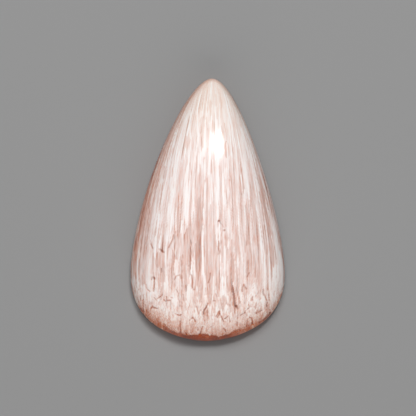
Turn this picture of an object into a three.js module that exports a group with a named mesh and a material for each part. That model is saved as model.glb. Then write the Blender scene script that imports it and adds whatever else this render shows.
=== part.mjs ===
// Pear-shaped scolecite cabochon, lying on its flat back with the dome up.
// Millimetres, +Z up, tip towards +Y. The origin is on the back plane, in the middle
// of the stone's length and width.
import * as THREE from 'three';

// Overall size of the stone
const LENGTH = 44.0;
const WIDTH = 25.86;
const THICKNESS = 8.4;

// Outline, seen from above. The widest place lies nearer the round end, and the tip
// leans a little to +X. Each side is two cubic curves, one from the widest place to
// the tip and one to the round end. A handle is the distance from a curve's end to
// its control point.
const WIDEST_FROM_ROUND_END = 11.26;
const SIDE_HANDLE_TO_TIP = 9.75;
const TIP_HANDLE = 4.73;
const SIDE_HANDLE_TO_ROUND_END = 9.51;
const ROUND_END_HANDLE = 3.33;
const TIP_LEAN = 0.72;
const ROUND_END_DRIFT = -0.25;

// Rim: a small bevel at the back edge, then a short wall that leans inwards
const BACK_BEVEL_INSET = 0.45;
const BACK_BEVEL_HEIGHT = 0.4;
const WALL_INSET = 0.04;
const WALL_TOP = 1.35;

// Dome: its height falls from a ridge line to the two sides, and along the ridge from
// the crown to the two ends, each time as sqrt(1 - share ^ fullness), where share is 0
// at the ridge or crown and 1 at the wall. A larger fullness is a flatter top with
// rounder shoulders.
const CROWN_FROM_ROUND_END = 14.0;
const SIDE_FULLNESS = 3.0;
const RIDGE_FULLNESS = 2.4;

// Facets
const STEPS_TO_TIP = 44;
const STEPS_TO_ROUND_END = 28;
const DOME_RINGS = 20;
const HALVING_STEPS = 40;

const tipY = LENGTH / 2;
const roundEndY = -LENGTH / 2;
const widestY = roundEndY + WIDEST_FROM_ROUND_END;
const halfWidth = WIDTH / 2;
const crown = new THREE.Vector2(0, roundEndY + CROWN_FROM_ROUND_END);
const wallTopScale = new THREE.Vector2(1 - WALL_INSET / halfWidth, 1 - WALL_INSET / tipY);

const towardsTip = new THREE.CubicBezierCurve(
  new THREE.Vector2(halfWidth, widestY),
  new THREE.Vector2(halfWidth, widestY + SIDE_HANDLE_TO_TIP),
  new THREE.Vector2(TIP_HANDLE, tipY),
  new THREE.Vector2(0, tipY),
);
const towardsRoundEnd = new THREE.CubicBezierCurve(
  new THREE.Vector2(halfWidth, widestY),
  new THREE.Vector2(halfWidth, widestY - SIDE_HANDLE_TO_ROUND_END),
  new THREE.Vector2(ROUND_END_HANDLE, roundEndY),
  new THREE.Vector2(0, roundEndY),
);

// How far the middle of the stone's width lies from x = 0, at a place along its length
function centreLine(y) {
  if (y > widestY) {
    return TIP_LEAN * ((y - widestY) / (tipY - widestY)) ** 3;
  }
  return ROUND_END_DRIFT * ((widestY - y) / (widestY - roundEndY)) ** 2;
}

// Half the outline's width at a place along its length, found by halving the curve
function outlineHalfWidth(y) {
  const curve = y > widestY ? towardsTip : towardsRoundEnd;
  let low = 0;
  let high = 1;
  for (let step = 0; step < HALVING_STEPS; step += 1) {
    const middle = (low + high) / 2;
    if (Math.abs(curve.getPoint(middle).y - widestY) < Math.abs(y - widestY)) {
      low = middle;
    } else {
      high = middle;
    }
  }
  return curve.getPoint(low).x;
}

// The widest outline, counter-clockwise seen from above, starting at the round end
function outlinePoints() {
  const rightSide = [
    ...towardsRoundEnd.getPoints(STEPS_TO_ROUND_END).reverse(),
    ...towardsTip.getPoints(STEPS_TO_TIP).slice(1),
  ];
  const leftSide = rightSide
    .slice(1, -1)
    .reverse()
    .map((point) => new THREE.Vector2(-point.x, point.y));
  return [...rightSide, ...leftSide].map(
    (point) => new THREE.Vector2(point.x + centreLine(point.y), point.y),
  );
}

// The outline moved inwards by an even distance, at right angles to its edge
function insetOutline(outline, inset) {
  return outline.map((point, index) => {
    const before = outline[(index + outline.length - 1) % outline.length];
    const after = outline[(index + 1) % outline.length];
    const along = after.clone().sub(before).normalize();
    return new THREE.Vector2(point.x - along.y * inset, point.y + along.x * inset);
  });
}

// What is left of the dome's height, for a share of the way from its top to the wall
function remaining(share, fullness) {
  return Math.sqrt(1 - Math.min(share, 1) ** fullness);
}

// Height of the dome over the back, at a place inside the top of the wall
function domeHeight(place) {
  const x = place.x / wallTopScale.x;
  const y = place.y / wallTopScale.y;
  const endY = y > crown.y ? tipY : roundEndY;
  const ridge = remaining((y - crown.y) / (endY - crown.y), RIDGE_FULLNESS);
  const side = remaining(Math.abs(x - centreLine(y)) / outlineHalfWidth(y), SIDE_FULLNESS);
  return WALL_TOP + (THICKNESS - WALL_TOP) * ridge * side;
}

// All the closed rings of points from the back's edge up to the one around the crown
function ringsFromBackToCrown() {
  const outline = outlinePoints();
  const wallTop = outline.map((p) => p.clone().multiply(wallTopScale));
  const rings = [
    insetOutline(outline, BACK_BEVEL_INSET).map((p) => new THREE.Vector3(p.x, p.y, 0)),
    outline.map((p) => new THREE.Vector3(p.x, p.y, BACK_BEVEL_HEIGHT)),
    wallTop.map((p) => new THREE.Vector3(p.x, p.y, WALL_TOP)),
  ];
  for (let ring = DOME_RINGS - 1; ring > 0; ring -= 1) {
    const reach = Math.sin((ring / DOME_RINGS) * (Math.PI / 2));
    rings.push(wallTop.map((p) => {
      const place = crown.clone().lerp(p, reach);
      return new THREE.Vector3(place.x, place.y, domeHeight(place));
    }));
  }
  return rings;
}

// One closed surface: the flat back as a fan, the rings joined in bands, and the
// small fan around the crown
function stoneGeometry() {
  const rings = ringsFromBackToCrown();
  const around = rings[0].length;
  const points = rings.flat();
  const backMiddle = points.push(new THREE.Vector3(crown.x, crown.y, 0)) - 1;
  const crownTop = points.push(new THREE.Vector3(crown.x, crown.y, THICKNESS)) - 1;
  const lastRing = (rings.length - 1) * around;
  const faces = [];
  for (let i = 0; i < around; i += 1) {
    const next = (i + 1) % around;
    faces.push(backMiddle, next, i);
    faces.push(crownTop, lastRing + i, lastRing + next);
    for (let ring = 0; ring < rings.length - 1; ring += 1) {
      const lower = ring * around;
      const upper = lower + around;
      faces.push(lower + i, lower + next, upper + next);
      faces.push(lower + i, upper + next, upper + i);
    }
  }
  const geometry = new THREE.BufferGeometry().setFromPoints(points);
  geometry.setIndex(faces);
  geometry.computeVertexNormals();
  return geometry;
}

// Polished, silky, pale pink stone
const scolecite = new THREE.MeshStandardMaterial({
  color: new THREE.Color(0.86, 0.76, 0.72),
  roughness: 0.22,
  metalness: 0.0,
});

const cabochon = new THREE.Mesh(stoneGeometry(), scolecite);
cabochon.name = 'cabochon';

const stone = new THREE.Group();
stone.add(cabochon);

export default stone;
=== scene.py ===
# The look of a pear-shaped scolecite cabochon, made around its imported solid.
# The stone's sizes are in millimetres here and the Blender objects are in metres, in the
# frame of the solid: the back lies on z = 0, the dome is up, and +Y is towards the tip.
import math

import bpy
import numpy as np
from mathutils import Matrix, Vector


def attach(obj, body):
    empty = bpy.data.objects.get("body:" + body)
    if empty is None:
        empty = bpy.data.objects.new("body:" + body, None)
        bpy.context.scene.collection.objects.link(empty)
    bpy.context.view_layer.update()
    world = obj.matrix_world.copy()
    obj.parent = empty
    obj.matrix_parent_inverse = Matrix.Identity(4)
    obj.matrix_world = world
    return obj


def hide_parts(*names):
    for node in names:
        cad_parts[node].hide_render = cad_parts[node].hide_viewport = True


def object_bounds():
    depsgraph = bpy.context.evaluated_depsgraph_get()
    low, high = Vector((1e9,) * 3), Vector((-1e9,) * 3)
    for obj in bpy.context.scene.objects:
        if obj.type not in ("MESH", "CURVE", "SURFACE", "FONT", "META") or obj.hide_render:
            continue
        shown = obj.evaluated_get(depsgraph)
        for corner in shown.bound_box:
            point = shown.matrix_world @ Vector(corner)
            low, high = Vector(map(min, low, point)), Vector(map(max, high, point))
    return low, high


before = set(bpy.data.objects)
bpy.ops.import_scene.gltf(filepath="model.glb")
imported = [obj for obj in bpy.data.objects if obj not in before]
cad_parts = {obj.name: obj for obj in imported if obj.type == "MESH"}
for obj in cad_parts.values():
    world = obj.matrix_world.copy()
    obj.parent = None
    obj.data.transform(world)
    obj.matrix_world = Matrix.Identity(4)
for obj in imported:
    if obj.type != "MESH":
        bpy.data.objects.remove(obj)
cad_low, cad_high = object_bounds()

MM = 0.001
SEED = 20
# A length in millimetres that is too small to matter
TINY = 0.001

# Driving sizes of the stone, the overall ones from the frame
WIDTH = (cad_high.x - cad_low.x) / MM
LENGTH = (cad_high.y - cad_low.y) / MM
THICKNESS = (cad_high.z - cad_low.z) / MM
HALF_WIDTH = WIDTH / 2
TIP_Y = LENGTH / 2
ROUND_END_Y = -LENGTH / 2

# Outline: two cubic curves on each side, from the widest place to the tip and to the
# round end. A handle is the distance from a curve's end to its control point.
WIDEST_Y = ROUND_END_Y + 11.26
SIDE_HANDLE_TO_TIP = 9.75
TIP_HANDLE = 4.73
SIDE_HANDLE_TO_ROUND_END = 9.51
ROUND_END_HANDLE = 3.33
TIP_LEAN = 0.72
ROUND_END_DRIFT = -0.25
CURVE_POINTS = 1500

# Rim and dome, as in the solid
BACK_BEVEL_INSET = 0.45
BACK_BEVEL_HEIGHT = 0.4
WALL_INSET = 0.04
WALL_TOP = 1.35
CROWN_Y = ROUND_END_Y + 14.0
SIDE_FULLNESS = 3.0
RIDGE_FULLNESS = 2.4

# Mesh: a square grid bent into the dome's middle, then rings out to the rim, down the
# wall and under the back, where the rings thin out
CELLS_ACROSS = 184
CELLS_ALONG = 308
GRID_REACH = 0.88
FINER_ROUND_END = 0.16
DOME_RINGS = 20
WALL_RINGS = 5
BEVEL_RINGS = 3
BACK_RINGS = 26
HALVINGS = 2
HALVING_STEP = 0.02


def cubic_curve(start, first_handle, second_handle, end):
    """Points along a cubic Bezier curve."""
    t = np.linspace(0, 1, CURVE_POINTS)[:, None]
    start, first_handle, second_handle, end = (
        np.array(p, float) for p in (start, first_handle, second_handle, end)
    )
    return (
        (1 - t) ** 3 * start
        + 3 * (1 - t) ** 2 * t * first_handle
        + 3 * (1 - t) * t**2 * second_handle
        + t**3 * end
    )


TO_TIP = cubic_curve(
    (HALF_WIDTH, WIDEST_Y),
    (HALF_WIDTH, WIDEST_Y + SIDE_HANDLE_TO_TIP),
    (TIP_HANDLE, TIP_Y),
    (0, TIP_Y),
)
TO_ROUND_END = cubic_curve(
    (HALF_WIDTH, WIDEST_Y),
    (HALF_WIDTH, WIDEST_Y - SIDE_HANDLE_TO_ROUND_END),
    (ROUND_END_HANDLE, ROUND_END_Y),
    (0, ROUND_END_Y),
)
RIGHT_SIDE = np.concatenate([TO_ROUND_END[::-1], TO_TIP[1:]])


def half_width(y):
    """Half the outline's width at a place along the length."""
    return np.interp(y, RIGHT_SIDE[:, 1], RIGHT_SIDE[:, 0])


def centre_line(y):
    """How far the middle of the width lies from x = 0."""
    towards_tip = np.clip((y - WIDEST_Y) / (TIP_Y - WIDEST_Y), 0, 1)
    towards_round_end = np.clip((WIDEST_Y - y) / (WIDEST_Y - ROUND_END_Y), 0, 1)
    return TIP_LEAN * towards_tip**3 + ROUND_END_DRIFT * towards_round_end**2


def outline_loop():
    """Points all around the outline."""
    left_side = RIGHT_SIDE[1:-1][::-1] * (-1, 1)
    loop = np.concatenate([RIGHT_SIDE, left_side])
    loop[:, 0] += centre_line(loop[:, 1])
    return loop


def outline_reach(angle):
    """Distance from the middle of the plan to the outline, in a direction."""
    loop = outline_loop()
    angles = np.arctan2(loop[:, 1], loop[:, 0])
    order = np.argsort(angles)
    reach = np.hypot(loop[:, 0], loop[:, 1])
    return np.interp(angle, angles[order], reach[order], period=2 * math.pi)


def distance_inside(points):
    """How far each point lies inside the outline, seen from above."""
    spacing = 20
    nearest = np.full(len(points), np.inf)
    for place in outline_loop()[::spacing]:
        step = points[:, :2] - place
        nearest = np.minimum(nearest, step[:, 0] ** 2 + step[:, 1] ** 2)
    return np.sqrt(nearest)


def plan_from_disc(disc):
    """Points of the unit disc moved to the stone's plan, the disc's edge to the outline."""
    stretched = disc * (HALF_WIDTH, TIP_Y)
    angle = np.arctan2(stretched[:, 1], stretched[:, 0])
    ellipse_reach = 1 / np.hypot(np.cos(angle) / HALF_WIDTH, np.sin(angle) / TIP_Y)
    return stretched * (outline_reach(angle) / ellipse_reach)[:, None]


def dome_height(x, y):
    """Height of the dome over the back."""
    end_y = np.where(y > CROWN_Y, TIP_Y, ROUND_END_Y)
    along = np.clip((y - CROWN_Y) / (end_y - CROWN_Y), 0, 1)
    across = np.clip(np.abs(x - centre_line(y)) / np.maximum(half_width(y), TINY), 0, 1)
    left_over = (1 - along**RIDGE_FULLNESS) * (1 - across**SIDE_FULLNESS)
    return WALL_TOP + (THICKNESS - WALL_TOP) * np.sqrt(left_over)


def grid_on_disc():
    """The square grid's points inside the disc, and its edge's point numbers in a loop."""
    s, t = np.meshgrid(
        np.linspace(-1, 1, CELLS_ACROSS + 1), np.linspace(-1, 1, CELLS_ALONG + 1)
    )
    t -= FINER_ROUND_END * (1 - t**2)
    disc = np.stack([s * np.sqrt(1 - t**2 / 2), t * np.sqrt(1 - s**2 / 2)], axis=-1)
    numbers = np.arange(disc.shape[0] * disc.shape[1]).reshape(disc.shape[:2])
    loop = np.concatenate(
        [numbers[0, :-1], numbers[:-1, -1], numbers[-1, :0:-1], numbers[:0:-1, 0]]
    )
    quads = np.stack(
        [numbers[:-1, :-1], numbers[:-1, 1:], numbers[1:, 1:], numbers[1:, :-1]], axis=-1
    )
    return disc.reshape(-1, 2) * GRID_REACH, loop, quads.reshape(-1, 4)


def ring_faces(inner, outer):
    """Quads between two rings of as many points, the outer one further down the stone."""
    return np.stack([inner, outer, np.roll(outer, -1), np.roll(inner, -1)], axis=-1)


def halving_faces(fine, coarse):
    """Triangles between a ring and one with half as many points."""
    even, odd = fine[0::2], fine[1::2]
    after = np.roll(even, -1)
    next_coarse = np.roll(coarse, -1)
    return np.concatenate(
        [
            np.stack([even, coarse, odd], axis=-1),
            np.stack([odd, coarse, next_coarse], axis=-1),
            np.stack([odd, next_coarse, after], axis=-1),
        ]
    )


def stone_mesh_data():
    """Points of the smooth stone, its quads and its triangles."""
    disc, loop, quads = grid_on_disc()
    plan = plan_from_disc(disc)
    points = [np.column_stack([plan, dome_height(plan[:, 0], plan[:, 1])])]
    four_sided = [quads]
    rim = disc[loop] / np.linalg.norm(disc[loop], axis=1, keepdims=True)
    inner = loop
    count = len(disc)
    start_angle = math.asin(GRID_REACH)
    outline = plan_from_disc(rim)
    wall_top = outline * (1 - WALL_INSET / HALF_WIDTH, 1 - WALL_INSET / TIP_Y)

    def add_ring(plan_ring, z):
        """One more ring of points, with quads between it and the last one."""
        nonlocal inner, count
        outer = count + np.arange(len(plan_ring))
        points.append(np.column_stack([plan_ring, np.broadcast_to(z, len(plan_ring))]))
        four_sided.append(ring_faces(inner, outer))
        inner = outer
        count += len(plan_ring)

    for ring in range(1, DOME_RINGS + 1):
        share = ring / DOME_RINGS
        reach = math.sin(start_angle + (math.pi / 2 - start_angle) * share)
        place = wall_top * reach
        at_wall = ring == DOME_RINGS
        add_ring(place, WALL_TOP if at_wall else dome_height(place[:, 0], place[:, 1]))
    for ring in range(1, WALL_RINGS + 1):
        share = ring / WALL_RINGS
        height = WALL_TOP + (BACK_BEVEL_HEIGHT - WALL_TOP) * share
        add_ring(wall_top + (outline - wall_top) * share, height)
    along = np.roll(outline, -1, axis=0) - np.roll(outline, 1, axis=0)
    along /= np.linalg.norm(along, axis=1, keepdims=True)
    inward = np.column_stack([-along[:, 1], along[:, 0]])
    for ring in range(1, BEVEL_RINGS + 1):
        turn = ring / BEVEL_RINGS * math.pi / 2
        add_ring(
            outline + inward * BACK_BEVEL_INSET * (1 - math.cos(turn)),
            BACK_BEVEL_HEIGHT * (1 - math.sin(turn)),
        )
    edge = outline + inward * BACK_BEVEL_INSET
    three_sided = []
    for halving in range(HALVINGS):
        share = 1 - HALVING_STEP * (halving + 1)
        edge = edge[0::2]
        coarse = count + np.arange(len(edge))
        points.append(np.column_stack([edge * share, np.zeros(len(edge))]))
        three_sided.append(halving_faces(inner, coarse))
        inner = coarse
        count += len(edge)
    last_share = share
    for ring in range(1, BACK_RINGS):
        add_ring(edge * last_share * (1 - ring / BACK_RINGS), 0.0)
    points.append(np.zeros((1, 3)))
    three_sided.append(np.stack([inner, np.full(len(inner), count), np.roll(inner, -1)], axis=-1))
    return np.concatenate(points), np.concatenate(four_sided), np.concatenate(three_sided)


def point_normals(points, quads, triangles):
    """Unit normals and the share of surface area at every point."""
    normals = np.zeros_like(points)
    across = points[quads[:, 2]] - points[quads[:, 0]]
    back = points[quads[:, 3]] - points[quads[:, 1]]
    quad_normals = np.cross(across, back) / 2
    side = points[triangles[:, 1]] - points[triangles[:, 0]]
    other = points[triangles[:, 2]] - points[triangles[:, 0]]
    triangle_normals = np.cross(side, other) / 2
    areas = np.zeros(len(points))
    for corners, face_normals in ((quads, quad_normals), (triangles, triangle_normals)):
        face_areas = np.linalg.norm(face_normals, axis=1) / corners.shape[1]
        for corner in corners.T:
            np.add.at(normals, corner, face_normals)
            np.add.at(areas, corner, face_areas)
    return normals / np.linalg.norm(normals, axis=1, keepdims=True), areas


# The needles fan out from the tip. A needle keeps its place across the fan, which is its
# x from the centre line, widened as the stone narrows, and more so near the sides.
FAN_AT_CENTRE = 0.45
FAN_AT_SIDES = 0.5
NARROWEST_FAN = 1.5


def fan_widening(points):
    """How much wider a step across the needles counts, because they run together."""
    x, y, _ = points.T
    share = np.clip((x - centre_line(y)) / np.maximum(half_width(y), TINY), -1, 1)
    width = np.maximum(half_width(np.maximum(y, WIDEST_Y)), NARROWEST_FAN)
    return (HALF_WIDTH / width) ** (FAN_AT_CENTRE + FAN_AT_SIDES * share**2)


def fibre_coordinates(points):
    """Place across the needles, along them and over the back, in millimetres."""
    x, y, z = points.T
    widening = fan_widening(points)
    return np.stack([(x - centre_line(y)) * widening, y, z * widening], axis=-1)


def place_in_fan(x, y):
    """Place across and along the needles, and how much wider a step across counts there."""
    place = np.array([[x, y, 0.0]])
    across, along, _ = fibre_coordinates(place)[0]
    return across, along, fan_widening(place)[0]


def smooth_step(low, high, value):
    """0 below low, 1 above high, and a smooth rise between them."""
    t = np.clip((value - low) / (high - low), 0, 1)
    return t * t * (3 - 2 * t)


class Needles:
    """Tones painted on the stone's points, needle over needle."""

    # How much a step in height counts against one across the needles
    DEPTH_WEIGHT = 0.35
    # How a needle's radius shrinks towards its ends
    TAPER = 3
    POINTEDNESS = 0.75
    THINNEST = 0.02
    # Where a needle's soft edge and its outline begin and end, in shares of its radius, and
    # where along its half length the outline begins and is full
    SOFT_EDGE = (0.65, 1.15)
    OUTLINE_INSIDE = (0.6, 1.0)
    OUTLINE_OUTSIDE = (1.0, 1.5)
    OUTLINE_ALONG = (-0.2, 0.6)
    # The distance, in radii, given to points that a needle doesn't reach
    FAR_OFF = 9
    # A streak's radius as a share of its width, and where the edge of a thin line begins and
    # ends as shares of its width
    STREAK_RADIUS = 0.62
    LINE_EDGE = (0.3, 1.0)

    def __init__(self, points, areas):
        fibre = fibre_coordinates(points)
        self.order = np.argsort(fibre[:, 1])
        self.across, self.along, self.depth = fibre[self.order].T
        self.x = points[self.order, 0]
        self.widening = fan_widening(points)[self.order]
        self.on_dome = points[self.order, 2] > BACK_BEVEL_HEIGHT
        self.areas = areas[self.order]
        self.tone = base_tone(self.along)
        self.relief = np.zeros(len(points))

    def between(self, low, high):
        """The slice of points between two places along the needles."""
        return slice(*np.searchsorted(self.along, (low, high)))

    def spindle(self, place, half_length, radius, lean):
        """The points near a needle, where they lie along it and how far they are from it."""
        across, along, depth = place
        near = self.between(along - half_length, along + half_length)
        step = self.along[near] - along
        share = step / half_length
        thickness = np.clip(1 - np.abs(share) ** self.TAPER, self.THINNEST, 1)
        reach = radius * thickness**self.POINTEDNESS
        sideways = self.across[near] - across - lean * step
        if depth is None:
            far_off = radius * self.FAR_OFF
            distance = np.where(self.on_dome[near], np.abs(sideways), far_off) / reach
        else:
            over = (self.depth[near] - depth) * self.DEPTH_WEIGHT
            distance = np.hypot(sideways, over) / reach
        return near, share, distance

    def needle(self, place, half_length, radius, tone, strength, lean=0.0):
        """One needle: a pointed spindle around a place, painted over what is there."""
        near, _, distance = self.spindle(place, half_length, radius, lean)
        body = 1 - smooth_step(*self.SOFT_EDGE, distance)
        self.tone[near] += (tone - self.tone[near]) * body * strength

    def tint(self, place, half_length, radius, change, lean=0.0, outline=0.0, pressed=0.0):
        """A needle that is lighter or darker than what is there, with a dark outline that
        is pressed in a little around its upper end."""
        near, share, distance = self.spindle(place, half_length, radius, lean)
        self.tone[near] += change * (1 - smooth_step(*self.SOFT_EDGE, distance))
        if outline:
            ring = smooth_step(*self.OUTLINE_INSIDE, distance)
            ring *= 1 - smooth_step(*self.OUTLINE_OUTSIDE, distance)
            ring *= smooth_step(*self.OUTLINE_ALONG, share)
            self.tone[near] -= outline * ring
            self.relief[near] = np.maximum(self.relief[near], pressed * ring)

    def streak(self, top, bottom, width, tone, strength=0.95):
        """A listed needle, from its top to its bottom end (x, y)."""
        top_across, top_along, _ = place_in_fan(*top)
        bottom_across, bottom_along, _ = place_in_fan(*bottom)
        half_length = (top_along - bottom_along) / 2
        lean = (top_across - bottom_across) / (top_along - bottom_along)
        across, along = (top_across + bottom_across) / 2, (top_along + bottom_along) / 2
        _, _, widening = place_in_fan((top[0] + bottom[0]) / 2, along)
        radius = self.STREAK_RADIUS * width * widening
        self.needle((across, along, None), half_length, radius, tone, strength, lean)

    def bundle(self, across, top, bottom, width, tone, strength=0.6):
        """A broad bundle at a place across the fan, between two places along it."""
        place = (across, (top + bottom) / 2, None)
        self.needle(place, (top - bottom) / 2, width / 2, tone, strength)

    def mark(self, places, width, tone, depth=0.0):
        """A thin line through some places (x, y), pressed in by a depth."""
        low = min(p[1] for p in places) - width
        high = max(p[1] for p in places) + width
        near = self.between(low, high)
        here = np.stack([self.x[near], self.along[near]], axis=-1)
        distance = np.full(len(here), np.inf)
        for start, end in zip(places, places[1:]):
            start, end = np.array(start, float), np.array(end, float)
            way = end - start
            share = np.clip((here - start) @ way / (way @ way), 0, 1)
            away = np.linalg.norm(here - start - share[:, None] * way, axis=1)
            distance = np.minimum(distance, away)
        line = (1 - smooth_step(*self.LINE_EDGE, distance / width)) * self.on_dome[near]
        self.tone[near] += tone * line
        self.relief[near] = np.maximum(self.relief[near], depth * line)

    def pit(self, place, width, tone, depth):
        """A small round hole."""
        self.mark([place, (place[0], place[1] - TINY)], width, tone, depth)

    def in_mesh_order(self, values):
        """Painted values put back in the order of the mesh's points."""
        ordered = np.empty_like(values)
        ordered[self.order] = values
        return ordered


def base_tone(y):
    """Tone without needles, by the place along the stone."""
    places = (-22, -20, -18, -14, -8, 0, 8, 16, 22)
    tones = (0.735, 0.765, 0.79, 0.775, 0.73, 0.75, 0.80, 0.80, 0.78)
    return np.interp(y, places, tones)


def contrast(y):
    """How far the needles' tones differ, by the place along the stone."""
    places = (-22, -18, -14, -8, 0, 5, 9, 14, 18, 22)
    shares = (0.8, 0.9, 1.0, 1.0, 0.95, 0.75, 0.5, 0.4, 0.20, 0.10)
    return np.interp(y, places, shares)


def fineness(y):
    """How far the finest streaks differ, by the place along the stone."""
    places = (-22, -16, -10, 0, 10, 17, 22)
    shares = (1.35, 1.75, 1.15, 1.1, 1.2, 1.1, 0.5)
    return np.interp(y, places, shares)


def flush(y):
    """How strong the pink flush is, which only the round end has."""
    return np.interp(y, (-20, -17, -12, -6), (1.2, 0.85, 0.35, 0.0))


def shortness(y):
    """The needles' length as a share of their length in the middle of the stone."""
    return np.interp(y, (-20, -13, 6, 20), (0.45, 1.0, 1.0, 0.6))


def choose_points(needles, random, count, share):
    """Numbers of random points, as likely as the area at a point and its share are large."""
    chances = needles.areas * share
    chances /= chances.sum()
    return random.choice(len(chances), count, p=chances)


def scatter(needles, random, count, share=1):
    """Random places on the stone: point numbers and places in the fan."""
    for middle in choose_points(needles, random, count, share):
        place = (needles.across[middle], needles.along[middle], needles.depth[middle])
        yield middle, place


def paint_bundles(needles, random):
    """Broad bundles all over the stone."""
    for _, place in scatter(needles, random, count=260):
        y = place[1]
        half_length = random.uniform(5, 11) * shortness(y)
        radius = random.uniform(0.45, 0.95)
        tone = base_tone(y) + random.normal(0, 0.03) * contrast(y)
        lean = random.normal(0, 0.008 / shortness(y))
        needles.needle(place, half_length, radius, tone, strength=0.7, lean=lean)


# The light bundles that show in the photograph, in the order in which they are painted: the
# place across the fan, the top and the bottom end, the width, and the tone
LIGHT_BUNDLES = (
    (-12.3, -11, -15, 0.8, 0.95),
    (-11.2, -12, -14.5, 1.2, 0.95),
    (-11.6, 9, 6, 0.8, 0.84),
    (-11.6, -11.5, -17, 1.0, 0.95),
    (-10.6, -13, -18.5, 1.0, 0.93),
    (-9.6, 1, -11, 1.0, 0.92),
    (-9.7, -11, -15.5, 1.6, 0.98),
    (-8.5, 8, -5, 1.3, 0.92),
    (-8.5, 5, -7, 0.9, 0.94),
    (-8.5, -4, -18, 0.9, 0.90),
    (-7.0, 16, 3, 1.7, 0.87),
    (-7.2, -15, -19.5, 1.0, 0.88),
    (-6.5, 6, -5, 1.1, 0.93),
    (-6.4, -9, -16.5, 0.9, 0.91),
    (-5.6, -1, -8, 0.9, 0.94),
    (-8.6, 12, 7, 0.7, 0.92),
    (-3.5, 5, -3, 0.6, 0.93),
    (1.5, 0, -5.5, 0.7, 0.90),
    (3.5, 2, -3.5, 0.7, 0.84),
    (10.5, 14, 6, 0.7, 0.82),
    (-5.5, -12.5, -19.5, 0.9, 0.85),
    (-2.8, -15, -19, 1.7, 0.93),
    (-2.6, 17, 1, 1.4, 0.86),
    (-1.4, -15, -19.5, 0.8, 0.85),
    (0.5, -14, -21, 0.9, 0.86),
    (1.5, 18, 12, 1.0, 0.88),
    (1.6, 9, -2, 0.9, 0.88),
    (1.7, -14, -19, 0.8, 0.86),
    (2.5, -8, -14.5, 0.8, 0.88),
    (5.0, 17, 10, 1.6, 0.86),
    (5.3, -15.5, -19.5, 1.2, 0.88),
    (7.4, -16, -20, 1.0, 0.88),
    (7.6, 12, 3, 0.9, 0.88),
    (8.4, 18, 8, 2.2, 0.86),
    (9.5, -8, -18, 1.0, 0.89),
    (10.6, -13, -17, 0.9, 0.93),
    (11.4, -9, -16, 1.2, 0.94),
    (7.6, -12, -19.5, 1.4, 0.92),
    (-8.8, -11.4, -14, 1.5, 1.0),
    (-3.0, -12.4, -15.8, 1.6, 1.0),
    (-1.4, -14, -15.8, 0.9, 0.92),
    (6.5, -13.6, -17, 1.0, 0.96),
    (10.8, -11, -15.4, 1.2, 0.98),
    (-5.5, -3, -7.4, 0.9, 1.04),
    (-11.4, -12, -14.2, 1.0, 1.04),
    (-6.5, -9.2, -12.4, 0.9, 0.94),
    (-8.5, 1, -5, 0.8, 0.94),
    (-8.5, 11.2, 8.8, 1.0, 0.98),
    (-5.5, 13.4, 10.6, 1.0, 0.94),
    (9.6, 18, 5, 1.2, 0.92),
    (10.6, 17, 7, 1.2, 0.95),
    (6.5, 19.4, 16.6, 1.1, 0.98),
    (6.5, 3, -5.2, 0.9, 0.94),
    (3.5, 17, 13, 1.0, 0.96),
    (3.5, 7, 5, 0.9, 0.92),
    (11.5, 17, 13, 0.9, 0.90),
    (12.2, -6.6, -14, 1.0, 0.98),
    (-6.2, 11, -7, 1.6, 0.90),
    (-10.2, 4.6, -14, 1.3, 0.86),
    (6.2, 7.4, 1, 1.3, 0.90),
    (-6.2, -6.4, -9.6, 1.0, 0.98),
    (4.0, 5.6, 2.4, 1.2, 0.94),
    (2.2, -7, -10.6, 0.9, 0.90),
    (-8.2, 11.4, 4.6, 1.1, 0.92),
    (-8.2, -2.4, -6.6, 1.1, 0.90),
    (10.2, 13.4, 5, 1.3, 0.90),
)
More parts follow.
